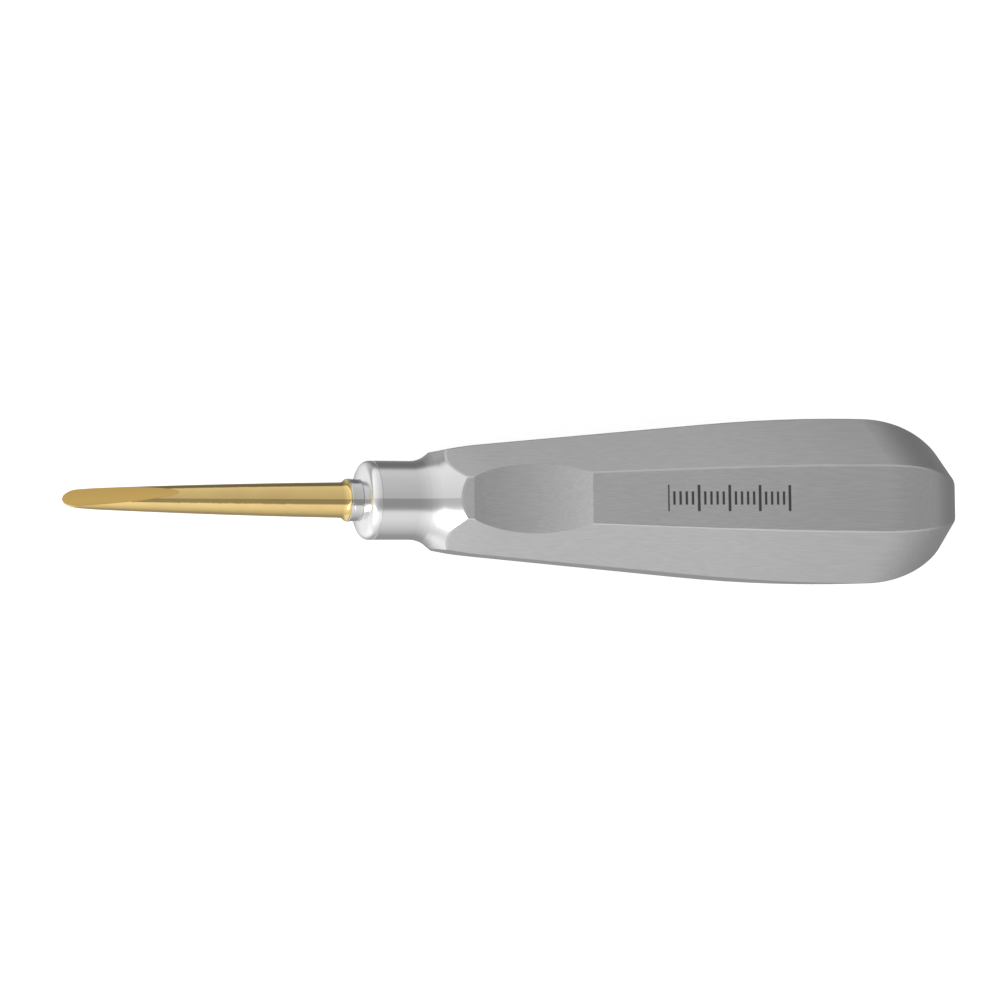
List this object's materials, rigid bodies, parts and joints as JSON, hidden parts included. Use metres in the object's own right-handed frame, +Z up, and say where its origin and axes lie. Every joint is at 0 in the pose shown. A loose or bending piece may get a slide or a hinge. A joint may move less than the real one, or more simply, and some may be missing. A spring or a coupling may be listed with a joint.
{
  "type": "dental elevator",
  "caption": "Straight dental elevator: hollow-ground gold-coated blade on a tapered round shank, collar and turned neck, eight-sided hollow steel handle with thumb scoops.",
  "frame": {"origin": "middle of the flat part of the handle's bottom facet, which the tool lies on", "axes": "+X towards the rear of the handle along the table, +Y across, +Z up; the tool's own axis rises 6.2 degrees from the tip towards the rear"},
  "size_m": [0.1466, 0.0266, 0.0316],
  "materials": {
    "coated_steel": "titanium nitride coating, polished shank and satin ground face",
    "polished_steel": "mirror polished",
    "satin_steel": "satin, polished on the neck and flare"
  },
  "bodies": {
    "root": {"working_end": "coated_steel", "shank_collar": "polished_steel", "bolster_plug": "polished_steel", "tang_pin": "polished_steel", "handle_shell": "satin_steel", "end_plug": "satin_steel"}
  },
  "joints": []
}
